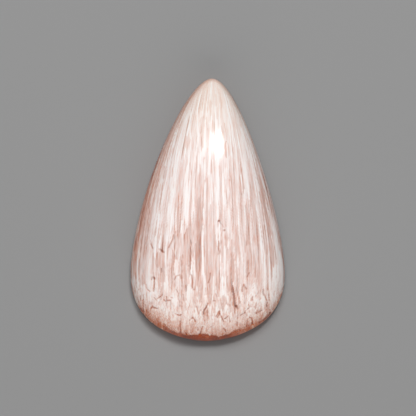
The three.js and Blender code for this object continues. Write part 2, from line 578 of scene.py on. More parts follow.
# The dark bundles, painted over them
DARK_BUNDLES = (
    (-12.2, 10, -2, 0.9, 0.72),
    (-9.6, 19, 6, 0.8, 0.76),
    (-11.2, 0, -8, 0.9, 0.70),
    (-10.5, -4, -12.5, 0.8, 0.72),
    (-7.5, -5, -13.5, 0.9, 0.62),
    (-5.5, 12, -11, 1.0, 0.62),
    (-3.6, -3, -13.5, 1.9, 0.54),
    (-1.5, 2, -12, 1.2, 0.42),
    (0.5, -1, -12, 0.9, 0.64),
    (2.4, 9, -9, 0.9, 0.70),
    (3.7, -7, -15, 0.9, 0.63),
    (4.6, -12.5, -16.5, 0.9, 0.56),
    (6.0, 4, -6, 1.0, 0.72),
    (7.2, 2, -11, 1.4, 0.72),
    (4.7, 9, 4, 1.4, 0.70),
    (8.6, 5, -9, 1.0, 0.66),
    (10.6, 3, -9, 1.0, 0.56),
    (11.5, -2, -9, 0.8, 0.76),
    (0.4, -10, -15.5, 1.0, 0.56),
    (-1.6, -9, -14.5, 0.8, 0.62),
    (12.5, 3, -6, 0.9, 0.60),
    (-4.5, 5, -1, 0.6, 0.68),
    (3.4, -11, -18.5, 0.8, 0.68),
    (10.5, -1, -9, 0.7, 0.64),
    (-9.6, 18, 4, 1.4, 0.74),
    (-4.6, 9, -1, 0.8, 0.70),
    (-0.5, 17, 11, 0.9, 0.78),
    (0.5, 1, -11, 0.9, 0.68),
    (2.6, -14, -16.5, 0.9, 0.68),
    (4.5, -1, -7, 0.8, 0.70),
    (-0.4, 8, -11, 0.8, 0.70),
    (-0.3, 16, 10, 0.8, 0.76),
    (2.5, 6, -4, 0.8, 0.70),
    (3.7, -3, -13, 0.7, 0.66),
    (5.6, 1, -10, 0.9, 0.68),
    (7.8, 2, -9, 0.9, 0.68),
    (10.3, -1, -8, 0.8, 0.64),
    (-4.5, 8, -1, 0.7, 0.70),
    (-9.5, 17, 8, 0.8, 0.72),
    (-9.5, 19.5, 11, 1.2, 0.62),
    (-8.2, 15, 13, 1.2, 0.66),
    (-11.5, 5, -0.5, 0.9, 0.60),
    (5.2, -2.4, -7.4, 1.4, 0.62),
    (7.5, -6.8, -9.4, 0.9, 0.60),
    (1.5, 19.4, 17, 1.0, 0.66),
    (-0.8, 15.4, 11, 1.6, 0.66),
    (3.8, 11.4, 8.4, 1.3, 0.30),
    (-8.2, -6.8, -9.6, 1.2, 0.56),
    (-2.0, 15.4, 12.6, 1.4, 0.60),
    (2.1, 7.4, -1.4, 1.2, 0.62),
    (4.2, -13.8, -15.8, 1.2, 0.56),
    (0.2, -6.6, -15.8, 1.3, 0.58),
    (8.0, -15.2, -17.2, 1.2, 0.60),
    (10.0, -2.4, -7.4, 1.2, 0.54),
    (10.0, -15.2, -17.2, 1.2, 0.66),
    (3.5, -9, -13.6, 0.8, 0.56),
    (2.6, -14, -16, 1.2, 0.62),
    (5.2, -13.8, -15.6, 0.9, 0.64),
    (-5.5, -11, -12.8, 0.8, 0.62),
    (-2.5, -18.2, -20.6, 1.1, 0.60),
    (10.5, -3, -5.4, 0.8, 0.58),
)


def place_bundles(needles):
    """The listed bundles."""
    for across, top, bottom, width, tone in LIGHT_BUNDLES + DARK_BUNDLES:
        needles.bundle(across, top, bottom, width, tone)


def tint_needles(needles, random, count, radii, spread):
    """Needles lighter or darker than their bundle, all over the stone."""
    for middle, place in scatter(needles, random, count):
        y = place[1]
        half_length = random.uniform(4.0, 11.0) * shortness(y)
        radius = random.uniform(*radii) * math.sqrt(needles.widening[middle])
        change = random.normal(0, spread) * contrast(y)
        lean = random.normal(0, 0.006 / shortness(y))
        needles.tint(place, half_length, radius, change, lean)


def tint_fine_needles(needles, random):
    """Fine needles over the others, all over the stone."""
    for middle, place in scatter(needles, random, count=3000):
        y = place[1]
        half_length = random.uniform(2.0, 8.0) * shortness(y)
        radius = random.uniform(0.07, 0.13) * needles.widening[middle]
        change = random.normal(0, 0.083) * fineness(y)
        lean = random.normal(0, 0.006 / shortness(y))
        needles.tint(place, half_length, radius, change, lean)


def break_needle_ends(needles, random):
    """Short broken needles near the round end, each with a pressed-in dark upper end."""
    share = 1 - smooth_step(-19, -10.5, needles.along)
    share *= smooth_step(-21, -17.5, needles.along) * 0.8 + 0.2
    for _, place in scatter(needles, random, count=70, share=share * needles.on_dome):
        half_length = random.uniform(0.9, 2.8)
        radius = random.uniform(0.10, 0.24)
        change = random.normal(0.015, 0.05)
        lean = random.normal(0, 0.025)
        outline = 0.2 * random.random() ** 2.5
        pressed = random.uniform(0.005, 0.03)
        needles.tint(place, half_length, radius, change, lean, outline, pressed)


# How far the painted highlight, a bright line, lies under the dark one
PAINTED_HIGHLIGHT_GAP = 0.22


def draw_needle_points(needles, random):
    """The outlines of a few small needle points near the round end, each a bent dark line with a
    bright line under it, a painted highlight where the point's face would catch the light."""
    share = 1 - smooth_step(-17, -9.5, needles.along)
    share *= smooth_step(-21, -18, needles.along) * 0.8 + 0.2
    for middle in choose_points(needles, random, count=10, share=share * needles.on_dome):
        across, along = needles.x[middle], needles.along[middle]
        left_leg = random.uniform(0.05, 0.32)
        right_leg = random.uniform(0.05, 0.32)
        left_drop = random.uniform(0, 1.5)
        right_drop = random.uniform(0, 1.5)
        places = [
            (across - left_leg, along - left_drop),
            (across, along),
            (across + right_leg, along - right_drop),
        ]
        below = [(x, y - PAINTED_HIGHLIGHT_GAP) for x, y in places]
        # Painted highlight: a bright line under each dark one
        needles.mark(below, width=0.16, tone=random.uniform(0, 0.16))
        needles.mark(places, width=0.15, tone=-random.uniform(0.14, 0.40), depth=0.04)


def draw_glints(needles, random):
    """Short bright lines where small needle faces near the round end catch the light."""
    share = 1 - smooth_step(-15, -11, needles.along)
    share *= smooth_step(-20.8, -18.5, needles.along)
    for middle in choose_points(needles, random, count=90, share=share * needles.on_dome):
        across, along = needles.x[middle], needles.along[middle]
        half_length = random.uniform(0.1, 0.7)
        lean = random.normal(0, 0.05)
        ends = [(across, along - half_length), (across + lean, along + half_length)]
        needles.mark(ends, width=0.14, tone=random.uniform(0.08, 0.30))


def sparkle(needles, random):
    """A patch of small crossing crystals, right of the middle near the round end, as short
    pressed-in lines, some darker and some lighter; the lighter ones are painted glitter.
    """
    count = 30
    for _ in range(count):
        across, along = random.uniform(6.8, 9.2), random.uniform(-17.0, -13.8)
        turn = random.uniform(-1.2, 1.2)
        half_length = random.uniform(0.12, 0.4)
        step = (half_length * math.sin(turn), half_length * math.cos(turn))
        ends = [(across - step[0], along - step[1]), (across + step[0], along + step[1])]
        # The lighter tones are painted glitter, where crystal faces would catch the light
        needles.mark(ends, width=0.15, tone=random.choice([-0.12, 0.1, 0.15]), depth=0.02)


def place_needles(needles, rows, change):
    """Listed needles, with a change of tone for all of them."""
    for top_x, top_y, bottom_x, bottom_y, width, tone in rows:
        needles.streak((top_x, top_y), (bottom_x, bottom_y), width, tone + change)


# The bright needles that stand out, in the order in which they are painted: the x and y of
# the top and of the bottom end, the width, and the tone
WHITE_NEEDLES = (
    (-2.7, 17.0, -2.8, 11.5, 0.25, 0.94),
    (-1.6, 17.0, -1.5, 11.0, 0.30, 0.93),
    (-0.3, 14.8, -0.5, 8.5, 0.35, 0.96),
    (0.0, 16.0, 0.0, 13.5, 0.15, 0.95),
    (1.4, 15.2, 1.5, 13.0, 0.30, 0.96),
    (2.0, 18.0, 2.0, 14.0, 0.15, 0.94),
    (3.3, 17.6, 3.4, 16.4, 0.15, 0.96),
    (-3.5, 15.4, -3.5, 13.8, 0.15, 0.94),
    (-5.2, 13.2, -5.5, 11.3, 0.20, 0.90),
    (4.45, 11.6, 4.98, 6.2, 0.30, 0.95),
    (3.2, 11.5, 3.4, 6.0, 0.30, 0.91),
    (5.8, 9.2, 6.3, 4.4, 0.30, 0.92),
    (-3.2, 10.5, -3.2, 7.8, 0.20, 0.92),
    (-1.15, 10.5, -1.2, 7.3, 0.20, 0.96),
    (-1.5, 9.6, -1.5, 5.8, 0.25, 0.96),
    (-0.5, 8.5, -0.5, 4.8, 0.30, 0.92),
    (-5.5, 9.6, -5.9, 6.8, 0.20, 0.90),
    (-6.35, 9.0, -6.7, 6.0, 0.25, 0.90),
    (-4.9, 9.2, -5.8, 4.0, 0.38, 0.95),
    (-5.8, 4.8, -6.15, -0.3, 0.30, 0.95),
    (-7.2, 6.9, -7.8, 4.3, 0.25, 0.88),
    (-6.9, 4.8, -7.7, 0.0, 0.36, 0.93),
    (-8.9, 3.4, -9.5, 0.0, 0.22, 0.90),
    (-3.35, 7.5, -3.42, 3.0, 0.34, 0.97),
    (-3.42, 5.0, -3.6, -2.4, 0.48, 0.99),
    (-2.2, 5.2, -2.6, -2.3, 0.25, 0.94),
    (-0.4, 4.8, -0.5, -0.5, 0.30, 0.93),
    (1.55, 8.6, 1.62, 0.3, 0.48, 0.99),
    (0.5, 6.2, 0.5, 2.6, 0.40, 0.90),
    (3.3, 4.2, 3.3, 1.6, 0.20, 0.90),
    (2.8, 3.0, 2.8, 0.6, 0.20, 0.90),
    (6.1, 3.5, 6.2, 0.8, 0.30, 0.94),
    (8.1, 5.2, 8.5, 3.0, 0.30, 0.88),
    (10.05, 0.4, 11.7, -9.5, 0.28, 0.92),
    (9.5, 2.4, 9.85, 0.0, 0.20, 0.90),
    (-6.4, 1.4, -6.55, -2.9, 0.26, 0.96),
    (-5.6, 1.6, -5.7, -2.8, 0.22, 0.93),
    (-5.15, 0.4, -5.3, -3.4, 0.20, 0.90),
    (-8.0, -0.5, -8.4, -4.4, 0.30, 0.95),
    (-8.45, -3.6, -8.8, -7.9, 0.36, 0.97),
    (-4.2, -1.6, -4.42, -3.9, 0.22, 0.94),
    (-3.3, -2.0, -3.85, -4.0, 0.22, 0.92),
    (-6.5, -2.2, -6.75, -5.8, 0.40, 0.92),
    (-0.62, 0.8, -0.65, -3.0, 0.32, 0.97),
    (-0.75, -2.4, -0.8, -6.2, 0.27, 0.97),
    (-0.8, -5.6, -0.72, -11.5, 0.25, 0.98),
    (1.7, 1.0, 1.72, -1.7, 0.32, 0.97),
    (1.9, -2.0, 1.95, -5.4, 0.34, 0.95),
    (3.4, 1.0, 3.4, -4.4, 0.42, 0.88),
    (3.35, -4.8, 3.4, -6.4, 0.30, 0.92),
    (2.8, -5.8, 2.8, -10.6, 0.42, 0.91),
    (3.3, -8.2, 3.3, -11.0, 0.24, 0.84),
    (0.5, -2.6, 0.5, -9.0, 0.40, 0.74),
    (5.2, -3.8, 5.85, -9.5, 0.26, 0.86),
    (4.9, -7.6, 5.0, -9.6, 0.34, 0.90),
    (9.05, -5.6, 9.5, -8.4, 0.26, 0.92),
    (7.0, -2.0, 7.15, -5.6, 0.20, 0.85),
    (-6.85, -5.0, -6.9, -11.5, 0.22, 0.93),
    (-5.2, -8.0, -5.2, -10.9, 0.50, 0.93),
    (-2.4, -7.6, -2.8, -11.0, 0.28, 0.96),
    (-2.2, -8.2, -2.25, -11.0, 0.22, 0.93),
    (-9.6, -8.6, -9.6, -11.4, 0.40, 0.92),
    (-11.3, -6.8, -11.5, -8.4, 0.30, 0.88),
    (-2.85, -10.6, -2.95, -13.2, 0.26, 0.98),
    (-3.1, -12.2, -3.15, -15.3, 0.42, 1.00),
    (-0.65, -10.2, -0.2, -15.7, 0.40, 0.97),
    (-9.6, -11.9, -9.6, -13.3, 0.36, 0.98),
    (-9.45, -13.0, -9.5, -15.2, 0.24, 1.00),
    (-10.5, -12.2, -10.6, -13.9, 0.32, 0.98),
    (-6.8, -10.8, -6.8, -14.3, 0.60, 0.93),
    (5.35, -12.1, 5.45, -15.1, 0.30, 0.98),
    (2.4, -10.9, 2.45, -12.0, 0.36, 1.00),
    (2.15, -12.2, 2.2, -14.8, 0.24, 0.97),
    (2.65, -12.4, 2.65, -14.0, 0.26, 0.99),
    (0.95, -10.8, 0.95, -13.2, 0.22, 0.94),
    (7.5, -12.9, 7.4, -14.2, 0.50, 0.97),
    (11.05, -11.8, 11.05, -13.6, 0.22, 0.97),
    (-8.4, -12.2, -8.4, -14.6, 0.40, 0.93),
)
# The pink and red-brown needles between them, all made darker by the same change
BROWN_CHANGE = -0.07
BROWN_NEEDLES = (
    (-0.75, 15.6, -0.8, 10.0, 0.30, 0.79),
    (0.1, 14.2, 0.1, 10.0, 0.20, 0.80),
    (-4.7, 14.3, -4.9, 12.2, 0.20, 0.81),
    (1.65, 17.2, 1.6, 15.0, 0.15, 0.78),
    (-3.4, 12.3, -3.45, 9.8, 0.50, 0.81),
    (-2.4, 12.2, -2.5, 9.8, 0.40, 0.80),
    (4.15, 14.6, 4.4, 11.8, 0.25, 0.79),
    (5.2, 15.2, 5.6, 13.6, 0.22, 0.77),
    (2.75, 14.6, 2.9, 12.8, 0.15, 0.77),
    (-5.65, 10.4, -5.95, 8.0, 0.20, 0.75),
    (-5.3, 9.8, -5.95, 5.2, 0.22, 0.73),
    (-6.55, 8.8, -6.8, 6.8, 0.22, 0.66),
    (-7.05, 7.4, -7.3, 5.0, 0.45, 0.73),
    (-6.25, 7.2, -6.4, 4.8, 0.16, 0.77),
    (-7.35, 4.6, -8.0, -0.5, 0.26, 0.66),
    (-8.45, 4.0, -9.6, -2.4, 0.26, 0.69),
    (-4.5, 7.2, -4.55, 2.3, 0.50, 0.78),
    (-4.75, 2.6, -4.95, -3.4, 0.30, 0.62),
    (-2.9, 8.0, -2.7, 5.6, 0.20, 0.71),
    (-1.7, 8.7, -1.7, 6.8, 0.15, 0.75),
    (-1.2, 7.0, -1.2, 5.4, 0.20, 0.79),
    (-0.85, 5.8, -0.85, 3.6, 0.40, 0.82),
    (-1.5, 4.4, -1.5, 1.0, 0.34, 0.76),
    (-1.45, 2.2, -1.45, -7.0, 0.80, 0.58),
    (-1.50, -4.0, -1.50, -11.8, 0.90, 0.55),
    (-1.90, -5.0, -1.85, -10.4, 0.24, 0.45),
    (-0.1, 5.4, -0.12, -12.0, 0.36, 0.66),
    (0.45, 1.0, 0.50, -4.0, 0.50, 0.76),
    (0.60, -8.4, 0.60, -12.5, 0.50, 0.72),
    (-4.3, 6.5, -4.4, 2.0, 0.50, 0.76),
    (4.9, 10.4, 5.15, 6.8, 0.24, 0.75),
    (5.3, 7.6, 5.3, 5.6, 0.32, 0.77),
    (6.3, 10.2, 6.6, 8.4, 0.15, 0.77),
    (6.85, 8.7, 6.8, 5.6, 0.26, 0.77),
    (8.0, 8.6, 8.55, 4.8, 0.40, 0.72),
    (8.45, 6.0, 9.5, 0.0, 0.50, 0.58),
    (9.4, 1.0, 10.35, -5.0, 0.60, 0.59),
    (10.25, -4.0, 10.9, -9.6, 0.60, 0.67),
    (7.0, 4.6, 7.1, -0.4, 0.20, 0.67),
    (7.5, 4.0, 7.6, -5.4, 0.60, 0.74),
    (4.3, 4.6, 4.5, 0.6, 0.32, 0.72),
    (5.1, 3.2, 5.15, 0.8, 0.15, 0.75),
    (5.7, 3.2, 5.7, 0.8, 0.20, 0.74),
    (3.65, 3.2, 3.65, 1.4, 0.35, 0.79),
    (2.1, 8.8, 2.15, 6.2, 0.15, 0.75),
    (2.15, 6.0, 2.2, 0.0, 0.20, 0.78),
    (1.2, 8.3, 1.25, 3.8, 0.24, 0.80),
    (-9.75, -0.8, -10.25, -7.2, 0.22, 0.70),
    (-9.5, -4.8, -9.1, -6.4, 0.20, 0.68),
    (-7.7, -6.8, -7.7, -9.6, 0.90, 0.75),
    (-7.1, -7.2, -7.2, -11.0, 0.20, 0.62),
    (-8.5, -7.8, -8.5, -9.2, 0.25, 0.70),
    (-5.75, -6.6, -5.8, -12.0, 0.22, 0.62),
    (-2.35, -0.3, -2.4, -2.4, 0.20, 0.69),
    (-3.1, -2.6, -3.35, -9.0, 0.40, 0.68),
    (-3.75, -6.0, -3.8, -9.0, 0.30, 0.72),
    (-4.45, -7.5, -4.75, -10.4, 0.30, 0.64),
    (-3.8, -8.8, -3.8, -11.6, 0.34, 0.67),
    (-4.2, -4.5, -4.3, -7.5, 0.60, 0.77),
    (-1.22, -3.4, -1.26, -10.2, 0.36, 0.40),
    (1.2, -3.6, 1.4, -8.6, 0.28, 0.69),
    (1.35, -8.0, 1.45, -13.3, 0.28, 0.61),
    (3.9, -4.6, 4.0, -7.6, 0.20, 0.64),
    (4.05, -6.8, 4.15, -12.0, 0.44, 0.57),
    (2.45, -6.8, 2.5, -8.8, 0.15, 0.70),
    (6.6, -5.6, 6.6, -8.4, 0.50, 0.79),
    (7.0, -4.8, 7.3, -8.4, 0.16, 0.72),
    (7.55, -6.6, 7.9, -11.2, 0.34, 0.66),
    (11.0, -5.8, 11.4, -8.4, 0.20, 0.60),
    (6.3, -9.6, 6.3, -11.6, 0.22, 0.74),
    (0.3, -10.0, 0.35, -16.0, 0.75, 0.70),
    (-0.25, -15.6, -0.4, -18.7, 0.66, 0.64),
    (-7.55, -10.2, -7.5, -14.3, 0.45, 0.71),
    (-1.25, -10.8, -1.25, -15.4, 0.50, 0.70),
    (6.15, -12.6, 6.15, -15.6, 0.60, 0.72),
    (3.95, -11.2, 4.0, -13.6, 0.26, 0.42),
    (4.05, -12.2, 4.6, -16.2, 0.34, 0.24),
    (-12.0, 4.0, -12.6, -12.0, 0.60, 0.62),
    (8.6, -11.8, 8.6, -13.2, 1.00, 0.80),
    (-10.9, -10.6, -10.9, -12.6, 0.24, 0.70),
    (9.95, -12.0, 9.95, -13.3, 0.22, 0.58),
    (-8.9, 1.4, -10.0, -3.8, 0.20, 0.70),
    (-7.9, -0.4, -8.9, -4.2, 0.18, 0.72),
    (-7.45, -1.6, -8.1, -5.5, 0.18, 0.72),
    (-5.6, -1.8, -6.15, -4.8, 0.18, 0.74),
)

# Thin dark lines where needles end or have split, most of them near the round end: the
# change of tone, the width, and the places (x, y) that a line runs through
DARK_LINES = (
    (-0.27, 0.24, ((-7.95, -6.45), (-7.65, -6.7), (-7.25, -6.95))),
    (-0.25, 0.17, ((-5.6, -4.1), (-5.75, -4.8), (-6.1, -5.5), (-6.45, -6.2))),
    (-0.22, 0.16, ((-9.45, -5.6), (-9.1, -6.35))),
    (-0.16, 0.14, ((-3.4, -2.6), (-3.55, -3.3), (-3.7, -3.9))),
    (-0.20, 0.12, ((2.1, -2.1), (2.4, -2.5), (2.7, -2.9))),
    (-0.14, 0.14, ((1.6, -6.0), (1.7, -6.4), (1.9, -6.9), (1.75, -7.3))),
    (-0.26, 0.17, ((-9.3, -11.5), (-9.15, -11.1), (-8.9, -11.05), (-8.75, -11.4))),
    (-0.34, 0.20, ((-8.8, -11.2), (-8.85, -12.1), (-8.95, -13.4))),
    (-0.22, 0.15, ((-7.45, -14.0), (-7.9, -14.35), (-8.3, -14.65))),
    (-0.24, 0.15, ((-8.85, -14.5), (-8.5, -14.9))),
    (-0.26, 0.16, ((-9.95, -13.2), (-9.6, -13.45))),
    (-0.18, 0.14, ((-10.15, -12.3), (-10.1, -13.1))),
    (-0.28, 0.13, ((-10.75, -14.9), (-10.75, -16.9))),
    (-0.24, 0.14, ((-10.35, -15.7), (-10.25, -16.4), (-10.1, -17.1))),
    (-0.36, 0.17, ((-9.45, -16.45), (-9.3, -16.05), (-8.9, -16.15), (-8.4, -16.3))),
    (-0.30, 0.17, ((-7.2, -14.85), (-6.95, -15.05))),
    (-0.34, 0.18, ((-6.65, -14.95), (-6.2, -14.9))),
    (-0.16, 0.15, ((-6.2, -15.0), (-6.2, -15.7), (-6.05, -16.3))),
    (-0.26, 0.15, ((-6.05, -14.45), (-5.75, -14.5))),
    (-0.20, 0.14, ((-5.5, -11.5), (-5.2, -10.9), (-4.6, -10.7), (-4.4, -11.3))),
    (-0.24, 0.15, ((-5.2, -13.1), (-4.85, -13.7), (-4.9, -14.5), (-4.7, -15.1), (-4.6, -15.9))),
    (-0.24, 0.16, ((-4.05, -13.9), (-3.95, -14.9))),
    (-0.22, 0.15, ((-3.55, -12.4), (-3.55, -14.9))),
    (-0.16, 0.15, ((-5.45, -17.1), (-5.2, -17.3))),
    (-0.32, 0.17, ((-5.0, -17.3), (-4.7, -17.45), (-4.35, -17.3))),
    (-0.28, 0.19, ((-4.55, -18.4), (-4.55, -19.3), (-4.5, -20.3))),
    (-0.34, 0.18, ((-2.95, -18.25), (-2.45, -17.75), (-2.05, -18.4))),
    (-0.20, 0.15, ((-1.85, -15.9), (-1.7, -16.5), (-1.45, -17.2))),
    (-0.24, 0.15, ((-2.85, -10.7), (-2.6, -10.8), (-2.45, -11.9), (-2.55, -12.9))),
    (-0.14, 0.15, ((-2.15, -14.4), (-2.15, -15.4))),
    (-0.26, 0.17, ((0.4, -10.4), (0.35, -11.3), (0.1, -12.0))),
    (-0.30, 0.17, ((0.02, -15.4), (-0.25, -16.1), (-0.6, -16.5), (-0.75, -17.2))),
    (-0.16, 0.13, ((-0.9, -10.8), (-0.95, -13.4), (-1.1, -15.2))),
    (-0.20, 0.15, ((1.3, -13.8), (1.5, -14.3))),
    (-0.24, 0.16, ((0.9, -14.95), (1.2, -15.0))),
    (-0.34, 0.17, ((1.4, -17.6), (1.9, -16.7), (2.0, -17.1), (2.4, -18.0), (2.6, -18.4))),
    (-0.34, 0.15, ((1.95, -17.1), (1.6, -17.8))),
    (-0.32, 0.15, ((2.85, -18.0), (3.45, -17.5), (3.6, -17.9), (3.7, -18.5))),
    (-0.18, 0.14, ((3.2, -15.3), (3.3, -15.7))),
    (-0.18, 0.14, ((3.65, -15.6), (3.85, -16.2), (3.8, -16.9))),
    (-0.26, 0.16, ((4.5, -15.8), (4.45, -17.1))),
    (-0.42, 0.24, ((4.7, -15.8), (4.95, -16.2))),
    (-0.30, 0.14, ((5.0, -16.4), (5.0, -17.9))),
    (-0.16, 0.14, ((4.95, -17.9), (4.95, -19.1))),
    (-0.14, 0.15, ((5.2, -14.4), (5.4, -15.9))),
    (-0.32, 0.19, ((5.7, -13.4), (5.75, -12.8), (5.95, -12.25), (6.4, -13.0))),
    (-0.22, 0.17, ((6.9, -10.3), (6.55, -11.0))),
    (-0.34, 0.15, ((9.2, -13.1), (9.15, -13.7), (9.5, -14.3), (9.85, -15.0), (9.85, -16.0))),
    (-0.18, 0.14, ((10.05, -13.0), (10.15, -14.0), (10.35, -15.0))),
    (-0.16, 0.15, ((11.05, -13.5), (11.05, -14.1))),
    (-0.26, 0.16, ((6.75, -16.25), (6.3, -16.7), (6.2, -16.95), (5.5, -17.4))),
    (-0.16, 0.14, ((6.2, -17.0), (6.5, -17.5))),
    (-0.18, 0.15, ((8.0, -14.1), (7.6, -14.9))),
    (-0.18, 0.15, ((7.35, -14.5), (7.2, -15.0))),
    (-0.36, 0.17, ((8.05, -17.2), (8.5, -16.9), (9.0, -16.6))),
    (-0.34, 0.18, ((7.0, -17.8), (7.3, -17.95), (7.45, -18.6), (7.4, -19.1))),
    (-0.26, 0.17, ((6.6, -18.4), (6.5, -19.4))),
    (-0.34, 0.20, ((9.35, -18.4), (9.9, -17.9), (10.4, -17.2))),
)
# Short bright lines beside them: painted glints, where small needle faces would catch the light
PAINTED_GLINT_LINES = (
    (0.24, 0.17, ((-11.8, -13.1), (-11.75, -13.3))),
    (0.12, 0.14, ((-9.1, -16.45), (-8.4, -16.55))),
    (0.18, 0.19, ((-3.6, -16.7), (-3.7, -17.5))),
    (0.22, 0.19, ((-1.95, -16.3), (-1.75, -17.9))),
    (0.20, 0.19, ((-1.2, -16.9), (-1.2, -17.3))),
    (0.24, 0.20, ((0.8, -17.7), (0.9, -17.9))),
    (0.24, 0.24, ((2.05, -18.0), (2.1, -18.5))),
    (0.18, 0.17, ((1.45, -16.1), (1.35, -17.2))),
    (0.22, 0.17, ((1.8, -14.4), (1.85, -14.7))),
    (0.20, 0.24, ((-0.6, -19.2), (-0.45, -19.4))),
    (0.14, 0.19, ((3.9, -17.0), (3.9, -17.6))),
    (0.18, 0.16, ((3.3, -14.4), (3.3, -14.9))),
    (0.16, 0.20, ((-6.75, -16.4), (-6.75, -17.3))),
    (0.14, 0.16, ((-6.35, -16.1), (-6.35, -16.7))),
    (0.20, 0.14, ((-5.9, -15.7), (-5.85, -16.6))),
    (0.16, 0.20, ((-5.4, -17.5), (-5.4, -18.1))),
    (0.16, 0.16, ((-4.95, -14.5), (-4.9, -15.0))),
    (0.14, 0.16, ((-5.3, -15.3), (-5.3, -15.7))),
    (0.24, 0.20, ((6.8, -17.1), (6.65, -17.8))),
    (0.20, 0.20, ((9.35, -14.3), (9.3, -15.4))),
    (0.24, 0.22, ((8.85, -14.9), (8.95, -15.1))),
    (0.24, 0.14, ((7.65, -15.5), (7.7, -15.8))),
    (0.20, 0.17, ((7.1, -14.2), (6.85, -14.9))),
    (0.18, 0.17, ((8.6, -16.1), (8.4, -16.4))),
    (0.18, 0.17, ((7.5, -14.5), (7.6, -14.8))),
    (0.16, 0.17, ((9.2, -15.9), (9.3, -16.9))),
    (0.14, 0.22, ((5.3, -18.4), (5.6, -18.6))),
    (0.18, 0.20, ((9.55, -17.4), (9.2, -18.0))),
    (0.16, 0.17, ((8.1, -14.8), (7.75, -15.4))),
    (0.16, 0.17, ((8.2, -15.9), (8.0, -16.5))),
    (0.16, 0.15, ((4.1, -14.2), (4.15, -15.2))),
    (0.20, 0.15, ((4.85, -14.2), (4.9, -15.6))),
    (0.12, 0.17, ((2.9, -16.0), (2.95, -16.8))),
    (0.14, 0.17, ((-7.9, -15.9), (-7.85, -16.8))),
    (0.14, 0.17, ((-8.0, -13.2), (-8.05, -14.0))),
    (0.12, 0.17, ((-0.9, -15.9), (-0.9, -16.6))),
)
LINE_DEPTH = 0.05
DARK_LINE_STRENGTH = 1.35
PAINTED_GLINT_STRENGTH = 1.3


def draw_lines(needles):
    """The thin dark lines of needle ends, and the painted glints beside them."""
    for change, width, places in DARK_LINES:
        needles.mark(places, width, DARK_LINE_STRENGTH * change, LINE_DEPTH)
    # Painted glints
    for change, width, places in PAINTED_GLINT_LINES:
        needles.mark(places, width, PAINTED_GLINT_STRENGTH * change)


# Small holes in the polish: x, y, width, change of tone, depth
PITS = (
    (1.85, -1.85, 0.28, -0.65, 0.06),
    (2.72, -3.35, 0.28, -0.50, 0.05),
    (0.55, -19.4, 0.24, -0.30, 0.06),
    (-1.15, -16.55, 0.20, -0.30, 0.05),
    (-2.3, -13.1, 0.22, -0.30, 0.05),
    (-10.75, -14.95, 0.17, -0.30, 0.05),
    (-10.75, -15.45, 0.17, -0.25, 0.05),
    (-11.5, -13.2, 0.20, -0.28, 0.05),
    (2.85, -18.0, 0.20, -0.22, 0.05),
    (2.65, -19.0, 0.16, -0.16, 0.04),
    (7.1, -15.95, 0.24, -0.26, 0.05),
    (-4.05, -2.4, 0.16, -0.18, 0.04),
    (-2.95, -2.5, 0.17, -0.22, 0.04),
    (3.6, 4.9, 0.24, -0.12, 0.0),
    (-3.2, -9.2, 0.17, -0.20, 0.04),
    (8.65, -18.7, 0.26, -0.34, 0.05),
    (10.4, -17.15, 0.24, -0.36, 0.05),
    (5.4, -20.0, 0.28, -0.30, 0.05),
    (-3.6, -20.62, 0.30, -0.45, 0.10),
)


def drill_pits(needles):
    """The small holes, each a dark point pressed in."""
    for x, y, width, change, depth in PITS:
        needles.pit((x, y), width, change, depth)


# Relief: the step down to the rind, and how far to the sides it fades out
RIND_DEPTH = 0.06
RIND_STEP_ENDS = (7, 9.5)
# The grooves of dark needles, which are shallower towards the tip, and the y between which
# that changes
GROOVE_DEPTH = 0.03
SMOOTH_GROOVE_DEPTH = 0.006
SMOOTHER_ENDS = (-6, 6)
GROOVE_TONE = 0.9
GROOVE_TONE_RANGE = 0.5
# The waves of the polish, and the heights between which waves and grooves set in
WAVE_DEPTH = 0.005
WAVE_LENGTH = 7.0
RELIEF_HEIGHTS = (WALL_TOP, 2.5 * WALL_TOP)

# The rust-coloured rind: its middle, how far to the sides it is drawn, the size of its
# patches, how blurred its edge is from the middle to the sides, and where, and the width
# of the dark line on that edge and where the line fades out
RIND_MIDDLE = -0.8
RIND_REACH = 14
RIND_PATCH = 0.7
RIND_BLUR = (0.06, 0.7)
RIND_BLUR_ENDS = (4.8, 7.5)
RIND_LINE_WIDTH = 0.13
RIND_LINE_ENDS = (5.0, 7.5)

# Painted shade where the very edge of the round end turns away from the light: the y where that
# is full and where it ends, and how far inside the outline
LOW_EDGE_ENDS = (-21.6, -20.4)
LOW_EDGE_INSET = (0.1, 1.1)


def waviness(points):
    """How deep the gentle waves of a dome cut by hand are pressed in."""
    x, y, _ = points.T * 2 * math.pi / WAVE_LENGTH
    return WAVE_DEPTH * (2 + np.sin(x + 0.6 * np.sin(y)) + np.sin(0.8 * y - 0.5 * x))


def rind_edge(x, random):
    """The y of the ragged upper edge of the rust-coloured rind at the round end."""
    places, edge = zip(
        (-13.0, -10.9),
        (-12.0, -15.2),
        (-9.3, -17.8),
        (-7.3, -18.9),
        (-6.3, -20.0),
        (-5.7, -20.45),
        (-4.3, -20.55),
        (-3.9, -20.9),
        (-2.6, -20.85),
        (-1.2, -20.6),
        (-0.4, -20.65),
        (0.4, -21.05),
        (0.6, -20.9),
        (1.1, -20.9),
        (1.8, -21.3),
        (2.6, -20.95),
        (3.6, -20.6),
        (4.6, -20.1),
        (5.4, -19.8),
        (6.0, -19.6),
        (7.3, -18.7),
        (9.0, -18.2),
        (10.5, -17.1),
        (13.0, -12.4),
    )
    ragged = np.zeros_like(x)
    for period, size in ((0.8, 0.05), (0.35, 0.07)):
        knots = np.arange(-RIND_REACH, RIND_REACH + period, period)
        ragged += np.interp(x, knots, random.normal(0, size, len(knots)))
    return np.interp(x, places, edge) + ragged


def rind_share(x, above_rind):
    """1 on the rust-coloured rind low on the round end, 0 elsewhere. Its edge is crisp in
    the middle and fades out to the sides."""
    blur = np.interp(np.abs(x - RIND_MIDDLE), RIND_BLUR_ENDS, RIND_BLUR)
    return 1 - smooth_step(-blur, blur, above_rind)


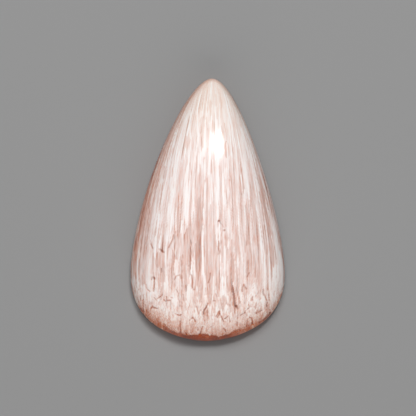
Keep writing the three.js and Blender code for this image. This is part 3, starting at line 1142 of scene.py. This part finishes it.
def rim_stain(points):
    """1 where iron has stained the rim orange-brown: most along the round end and less up
    the left side, fading inwards over a few millimetres."""
    x, y = points[:, 0], points[:, 1]
    reach_left = np.interp(y, (-22, -18, -12, 4, 12), (2.6, 4.3, 2.1, 2.7, 1.8))
    reach_right = np.interp(y, (-22, -18, -12, 4, 12), (2.6, 3.6, 1.1, 0.8, 0.6))
    amount_left = np.interp(y, (-17, -14.5, -12, -9, 4, 14), (1.0, 0.4, 0.2, 0.9, 1.0, 0.6))
    amount_right = np.interp(y, (-18, -14, -4, 4, 14), (1.0, 0.18, 0.05, 0.4, 0.2))
    side = smooth_step(-4, 4, x)
    reach = reach_left * (1 - side) + reach_right * side
    amount = amount_left * (1 - side) + amount_right * side
    return amount * (1 - smooth_step(-0.2, 1.0, distance_inside(points) / reach))


def painted_rim_shade(points):
    """How much darker the stone is painted along its rim, as painted shade: most towards the tip
    and more on the left side, fading inwards within about a millimetre.
    """
    x, y = points[:, 0], points[:, 1]
    amount = np.interp(y, (-18, -10, 0, 8, 14, 20), (0.0, 0.02, 0.07, 0.14, 0.17, 0.15))
    amount += 0.06 * (1 - smooth_step(-6, 0, x)) * smooth_step(-18, -12, y)
    return amount * (1 - smooth_step(0.0, 0.9, distance_inside(points)))


def painted_low_edge_shade(points):
    """1 along the very edge of the round end, where the stone turns away from the light and is
    painted darker as painted shade.
    """
    low = 1 - smooth_step(*LOW_EDGE_ENDS, points[:, 1])
    return low * (1 - smooth_step(*LOW_EDGE_INSET, distance_inside(points)))


def rind_darkness(x, above_rind, random):
    """How much darker the rind is: most in the middle, in uneven patches, and on its crisp
    upper edge there."""
    places = (-8.5, -5.3, -2.5, -1.5, 0.0, 0.8, 2.8, 4.8)
    darkness = np.interp(x, places, (0.08, 0.36, 0.45, 0.40, 0.37, 0.44, 0.40, 0.10))
    patches = np.arange(-RIND_REACH, RIND_REACH, RIND_PATCH)
    darkness += np.interp(x, patches, random.normal(0, 0.06, len(patches)))
    away = np.abs(x - RIND_MIDDLE)
    edge_line = np.exp(-((above_rind / RIND_LINE_WIDTH) ** 2))
    edge_line *= 1 - smooth_step(*RIND_LINE_ENDS, away)
    dashes = np.arange(-RIND_REACH, RIND_REACH, RIND_PATCH / 2)
    edge_line *= np.interp(x, dashes, random.uniform(0.1, 1.0, len(dashes)))
    return darkness, edge_line


def material_node(tree, kind, **values):
    """A shader node with its properties set by name."""
    node = tree.nodes.new(kind)
    for name, value in values.items():
        setattr(node, name, value)
    return node


def attribute_output(tree, name, output):
    """The output of a node that reads an attribute of the mesh."""
    node = material_node(tree, "ShaderNodeAttribute", attribute_name=name)
    return node.outputs[output]


def math_node(tree, operation, first, second):
    """One arithmetic step on sockets or numbers."""
    node = material_node(tree, "ShaderNodeMath", operation=operation)
    for socket, value in zip(node.inputs, (first, second)):
        if isinstance(value, bpy.types.NodeSocket):
            tree.links.new(value, socket)
        else:
            socket.default_value = value
    return node.outputs[0]


def add_share(tree, value, other, share):
    """A value plus a share of another."""
    return math_node(tree, "ADD", value, math_node(tree, "MULTIPLY", other, share))


# Noise is turned away from the stone's axes, so that no regular grid shows in it
NOISE_TURN = (0.5, 0.4, 0.6)


def fibre_noise(tree, fibre, scale, detail):
    """Noise stretched along the needles, centred on 0. The scale is per millimetre."""
    mapping = material_node(tree, "ShaderNodeMapping")
    mapping.inputs["Scale"].default_value = scale
    mapping.inputs["Rotation"].default_value = NOISE_TURN
    tree.links.new(fibre, mapping.inputs["Vector"])
    noise = material_node(tree, "ShaderNodeTexNoise", noise_dimensions="3D")
    noise.inputs["Scale"].default_value = 1.0
    noise.inputs["Detail"].default_value = detail
    noise.inputs["Roughness"].default_value = 0.6
    tree.links.new(mapping.outputs["Vector"], noise.inputs["Vector"])
    return math_node(tree, "SUBTRACT", noise.outputs["Fac"], 0.5)


def colour_ramp(tree, value, stops):
    """Colours by tone."""
    node = material_node(tree, "ShaderNodeValToRGB")
    elements = node.color_ramp.elements
    while len(elements) < len(stops):
        elements.new(0.5)
    for element, (place, colour) in zip(elements, stops):
        element.position = place
        element.color = (*colour, 1.0)
    tree.links.new(value, node.inputs["Fac"])
    return node.outputs["Color"]


def mix_colours(tree, share, first, second, blend="MIX"):
    """Two colours mixed by a share, which is 0 for the first alone."""
    node = material_node(tree, "ShaderNodeMix", data_type="RGBA", blend_type=blend)
    colour_inputs = [socket for socket in node.inputs if socket.type == "RGBA"]
    colour_output = next(socket for socket in node.outputs if socket.type == "RGBA")
    tree.links.new(share, node.inputs["Factor"])
    tree.links.new(first, colour_inputs[0])
    tree.links.new(second, colour_inputs[1])
    return colour_output


# Colours by tone: the stone near the round end, the stone near the tip, and the rust
PINK_TONES = (
    (0.00, (0.260, 0.091, 0.058)),
    (0.22, (0.430, 0.190, 0.135)),
    (0.49, (0.650, 0.375, 0.305)),
    (0.66, (0.775, 0.545, 0.485)),
    (0.79, (0.860, 0.685, 0.640)),
    (0.89, (0.920, 0.800, 0.765)),
    (1.00, (0.970, 0.905, 0.885)),
)
BEIGE_TONES = (
    (0.00, (0.280, 0.100, 0.054)),
    (0.22, (0.460, 0.210, 0.125)),
    (0.49, (0.670, 0.400, 0.295)),
    (0.66, (0.790, 0.580, 0.480)),
    (0.79, (0.875, 0.720, 0.640)),
    (0.89, (0.925, 0.830, 0.770)),
    (0.98, (0.955, 0.900, 0.865)),
)
RUST_TONES = (
    (0.00, (0.190, 0.030, 0.010)),
    (0.32, (0.450, 0.092, 0.037)),
    (0.64, (0.710, 0.258, 0.152)),
    (0.83, (0.870, 0.480, 0.340)),
    (0.98, (0.940, 0.710, 0.590)),
)

# The pink flush: its colour, its share on black, and how much less it is on white
FLUSH = (1.0, 0.88, 0.81)
FLUSH_ON_BLACK = 1.2
LESS_FLUSH_ON_WHITE = 0.5

# How far each kind of streak and the grain change the tone
BROAD_STREAKS = 0.13
FINE_STREAKS = 0.28
HAIR_STREAKS = 0.36
GRAIN = 0.05

# How strong the colours are, and how far that varies and grows with the rust
SATURATION = 0.84
SATURATION_VARIETY = 1.4
SATURATION_OF_RUST = 0.22

# How dull the polish is, and what makes it duller
ROUGHNESS = 0.12
ROUGHNESS_OF_STREAKS = 0.2
ROUGHNESS_OF_RUST = 0.25
ROUGHNESS_OF_BACK = 0.35


def scolecite_material():
    """Polished fibrous stone: needles of white, pink and red-brown under a clear gloss."""
    material = bpy.data.materials.new("scolecite")
    material.use_nodes = True
    tree = material.node_tree
    shader = tree.nodes["Principled BSDF"]
    fibre = attribute_output(tree, "fibre", "Vector")
    painted = attribute_output(tree, "tone", "Fac")
    warm = attribute_output(tree, "warm", "Fac")
    rust = attribute_output(tree, "rust", "Fac")
    amount = attribute_output(tree, "contrast", "Fac")
    lapped = attribute_output(tree, "lapped", "Fac")
    flush = attribute_output(tree, "flush", "Fac")
    broad = fibre_noise(tree, fibre, scale=(2.4, 0.13, 1.3), detail=2.0)
    fine = fibre_noise(tree, fibre, scale=(5.5, 0.17, 3.0), detail=2.0)
    hair = fibre_noise(tree, fibre, scale=(11.0, 0.30, 6.0), detail=1.0)
    grain = fibre_noise(tree, fibre, scale=(4.5, 2.5, 3.0), detail=1.0)
    variety = fibre_noise(tree, fibre, scale=(6.5, 0.6, 3.5), detail=1.0)
    streaks = math_node(tree, "MULTIPLY", fine, FINE_STREAKS)
    streaks = add_share(tree, streaks, hair, HAIR_STREAKS)
    streaks = add_share(tree, streaks, broad, BROAD_STREAKS)
    tone = add_share(tree, painted, streaks, amount)
    tone = add_share(tree, tone, grain, GRAIN)
    colour = mix_colours(
        tree, warm, colour_ramp(tree, tone, PINK_TONES), colour_ramp(tree, tone, BEIGE_TONES)
    )
    flushed = material_node(tree, "ShaderNodeRGB")
    flushed.outputs[0].default_value = (*FLUSH, 1.0)
    less_on_white = add_share(tree, FLUSH_ON_BLACK, tone, -LESS_FLUSH_ON_WHITE)
    pinker = math_node(tree, "MULTIPLY", flush, less_on_white)
    colour = mix_colours(tree, pinker, colour, flushed.outputs[0], "MULTIPLY")
    colour = mix_colours(tree, rust, colour, colour_ramp(tree, tone, RUST_TONES))
    tint = material_node(tree, "ShaderNodeHueSaturation")
    saturation = add_share(tree, SATURATION, variety, SATURATION_VARIETY)
    saturation = add_share(tree, saturation, rust, SATURATION_OF_RUST)
    tree.links.new(saturation, tint.inputs["Saturation"])
    tree.links.new(colour, tint.inputs["Color"])
    tree.links.new(tint.outputs["Color"], shader.inputs["Base Color"])
    roughness = add_share(tree, ROUGHNESS, fine, ROUGHNESS_OF_STREAKS)
    roughness = add_share(tree, roughness, rust, ROUGHNESS_OF_RUST)
    roughness = add_share(tree, roughness, lapped, ROUGHNESS_OF_BACK)
    tree.links.new(roughness, shader.inputs["Roughness"])
    shader.inputs["IOR"].default_value = 1.51
    shader.inputs["Subsurface Weight"].default_value = 0.08
    shader.inputs["Subsurface Radius"].default_value = (1.0, 0.7, 0.6)
    shader.inputs["Subsurface Scale"].default_value = 0.5 * MM
    bump = material_node(tree, "ShaderNodeBump")
    bump.inputs["Strength"].default_value = 0.6
    bump.inputs["Distance"].default_value = 0.008 * MM
    height = add_share(tree, fine, hair, share=0.5)
    tree.links.new(height, bump.inputs["Height"])
    tree.links.new(bump.outputs["Normal"], shader.inputs["Normal"])
    return material


def set_attribute(mesh, name, values):
    """A number or a vector at every point of the mesh."""
    if values.ndim == 1:
        attribute = mesh.attributes.new(name, "FLOAT", "POINT")
        attribute.data.foreach_set("value", values.astype(np.float32))
    else:
        attribute = mesh.attributes.new(name, "FLOAT_VECTOR", "POINT")
        attribute.data.foreach_set("vector", values.astype(np.float32).ravel())


# The y between which the stone turns from pink to beige
BEIGE_ENDS = (6, 20)

# The stain: how far above the rind it seeps, and how dark and how rust-coloured it is, and how
# dark the painted shade along the very edge of the round end is
SEEP_ENDS = (-0.25, 0.8)
SEEP_STRENGTH = 0.6
EDGE_LINE_DARKNESS = 0.34
STAIN_DARKNESS = 0.08
# Painted shade where the very edge of the round end turns away from the light
LOW_EDGE_PAINTED_SHADE = 0.09
STAIN_RUST = 0.9


def make_stone():
    """The cabochon: shape, painted needles, relief and material."""
    random = np.random.default_rng(SEED)
    points, quads, triangles = stone_mesh_data()
    normals, areas = point_normals(points, quads, triangles)
    needles = Needles(points, areas)
    paint_bundles(needles, random)
    tint_needles(needles, random, count=450, radii=(0.18, 0.4), spread=0.04)
    place_bundles(needles)
    tint_needles(needles, random, count=600, radii=(0.12, 0.24), spread=0.038)
    tint_fine_needles(needles, random)
    place_needles(needles, BROWN_NEEDLES, BROWN_CHANGE)
    place_needles(needles, WHITE_NEEDLES, 0.0)
    break_needle_ends(needles, random)
    draw_needle_points(needles, random)
    draw_glints(needles, random)
    sparkle(needles, random)
    draw_lines(needles)
    drill_pits(needles)
    above_rind = points[:, 1] - rind_edge(points[:, 0], random)
    rind = rind_share(points[:, 0], above_rind)
    seep = 1 - smooth_step(*SEEP_ENDS, above_rind)
    stain = np.maximum(rim_stain(points), SEEP_STRENGTH * seep)
    tone = needles.in_mesh_order(needles.tone)
    darkness, edge_line = rind_darkness(points[:, 0], above_rind, random)
    tone -= darkness * rind + EDGE_LINE_DARKNESS * edge_line
    # The stain, and painted shade along the very edge of the round end
    tone -= STAIN_DARKNESS * stain + LOW_EDGE_PAINTED_SHADE * painted_low_edge_shade(points)
    # Painted shade along the rim
    tone -= painted_rim_shade(points)
    rind_step = rind * (1 - smooth_step(*RIND_STEP_ENDS, np.abs(points[:, 0])))
    relief = needles.in_mesh_order(needles.relief) + rind_step * RIND_DEPTH
    on_dome = smooth_step(*RELIEF_HEIGHTS, points[:, 2])
    groove_depths = (GROOVE_DEPTH, SMOOTH_GROOVE_DEPTH)
    groove_depth = np.interp(points[:, 1], SMOOTHER_ENDS, groove_depths)
    darker = np.clip(GROOVE_TONE - tone, 0, GROOVE_TONE_RANGE)
    relief += on_dome * (waviness(points) + groove_depth * darker)
    fibre = fibre_coordinates(points)
    shaped = points - normals * relief[:, None]
    mesh = bpy.data.meshes.new("cabochon_stone")
    mesh.from_pydata((shaped * MM).tolist(), [], quads.tolist() + triangles.tolist())
    mesh.shade_smooth()
    set_attribute(mesh, "fibre", fibre)
    set_attribute(mesh, "tone", tone)
    set_attribute(mesh, "warm", smooth_step(*BEIGE_ENDS, points[:, 1]))
    set_attribute(mesh, "rust", np.maximum(rind, STAIN_RUST * stain))
    set_attribute(mesh, "contrast", fineness(points[:, 1]))
    set_attribute(mesh, "flush", flush(points[:, 1]))
    set_attribute(mesh, "lapped", 1 - smooth_step(0, BACK_BEVEL_HEIGHT, points[:, 2]))
    stone = bpy.data.objects.new("cabochon_stone", mesh)
    bpy.context.scene.collection.objects.link(stone)
    mesh.materials.append(scolecite_material())
    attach(stone, "root")
    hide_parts("cabochon")
    return stone


# Studio: a pale floor, a small key lamp whose mirror image is the highlight, a lamp that
# throws the shadow at the round end and a low fill, both not mirrored in the polish, a large
# soft panel overhead and an even fill from all around
FLOOR_SIZE = 2.0
FLOOR_ALBEDO = 0.279
STONE_MIDDLE = Vector((0, 0, 4 * MM))


def make_floor():
    """A plain floor of pale paper."""
    mesh = bpy.data.meshes.new("floor")
    half = FLOOR_SIZE / 2
    corners = [(-half, -half, 0), (half, -half, 0), (half, half, 0), (-half, half, 0)]
    mesh.from_pydata(corners, [], [(0, 1, 2, 3)])
    floor = bpy.data.objects.new("floor", mesh)
    bpy.context.scene.collection.objects.link(floor)
    material = bpy.data.materials.new("floor_paper")
    material.use_nodes = True
    shader = material.node_tree.nodes["Principled BSDF"]
    shader.inputs["Base Color"].default_value = (FLOOR_ALBEDO, FLOOR_ALBEDO, FLOOR_ALBEDO, 1)
    shader.inputs["Roughness"].default_value = 0.9
    shader.inputs["Specular IOR Level"].default_value = 0.1
    mesh.materials.append(material)


def panel_light(name, tilt_x, tilt_y, distance, width, height, radiance, turn=0.0):
    """A flat elliptical lamp that faces the stone. Tilts are from straight overhead, in
    degrees, towards +X and +Y, and its glow is the same whatever its size."""
    direction = Vector((math.tan(math.radians(tilt_x)), math.tan(math.radians(tilt_y)), 1))
    direction.normalize()
    data = bpy.data.lights.new(name, "AREA")
    data.shape = "ELLIPSE"
    data.size = width
    data.size_y = height
    data.energy = radiance * math.pi * width * height * math.pi / 4
    lamp = bpy.data.objects.new(name, data)
    lamp.location = STONE_MIDDLE + direction * distance
    facing = direction.to_track_quat("Z", "Y").to_matrix().to_4x4()
    lamp.matrix_world = (
        facing.Translation(lamp.location)
        @ facing
        @ facing.Rotation(math.radians(turn), 4, "Z")
    )
    bpy.context.scene.collection.objects.link(lamp)
    return lamp


def make_lights():
    """The lamps, the even fill and a plain view transform."""
    # name, tilt to +X, tilt to +Y, distance, width, height, radiance
    panel_light("key_lamp", 8.0, 24.0, 0.6, 0.11, 0.054, 77.0, turn=62)
    shade_lamp = panel_light("shade_lamp", -3, 26, 0.9, 0.3, 0.3, 16.3)
    panel_light("soft_panel", -5, 15, 0.9, 0.9, 1.1, 0.75)
    low_fill = panel_light("low_fill", 0, -66, 0.9, 1.1, 0.5, 2.5)
    for lamp in (shade_lamp, low_fill):
        lamp.visible_glossy = False
    world = bpy.data.worlds.new("studio_fill")
    world.use_nodes = True
    background = world.node_tree.nodes["Background"]
    background.inputs["Color"].default_value = (1, 1, 1, 1)
    background.inputs["Strength"].default_value = 0.07
    bpy.context.scene.world = world
    bpy.context.scene.view_settings.view_transform = "Standard"


# Camera: straight down from the photograph's viewing direction, with a long lens
LENS = 200.0
SENSOR = 36.0
FRAME_WIDTH = 69.67 * MM
CAMERA_X = 0.05 * MM
CAMERA_Y = 0.31 * MM
RIM_HEIGHT = 1.0 * MM


def make_camera():
    """The camera over the stone, with the photograph's frame at the height of the rim."""
    data = bpy.data.cameras.new("camera")
    data.lens = LENS
    data.sensor_width = SENSOR
    camera = bpy.data.objects.new("camera", data)
    camera.location = (CAMERA_X, CAMERA_Y, RIM_HEIGHT + FRAME_WIDTH * LENS / SENSOR)
    bpy.context.scene.collection.objects.link(camera)
    bpy.context.scene.camera = camera


make_stone()
make_floor()
make_lights()
make_camera()
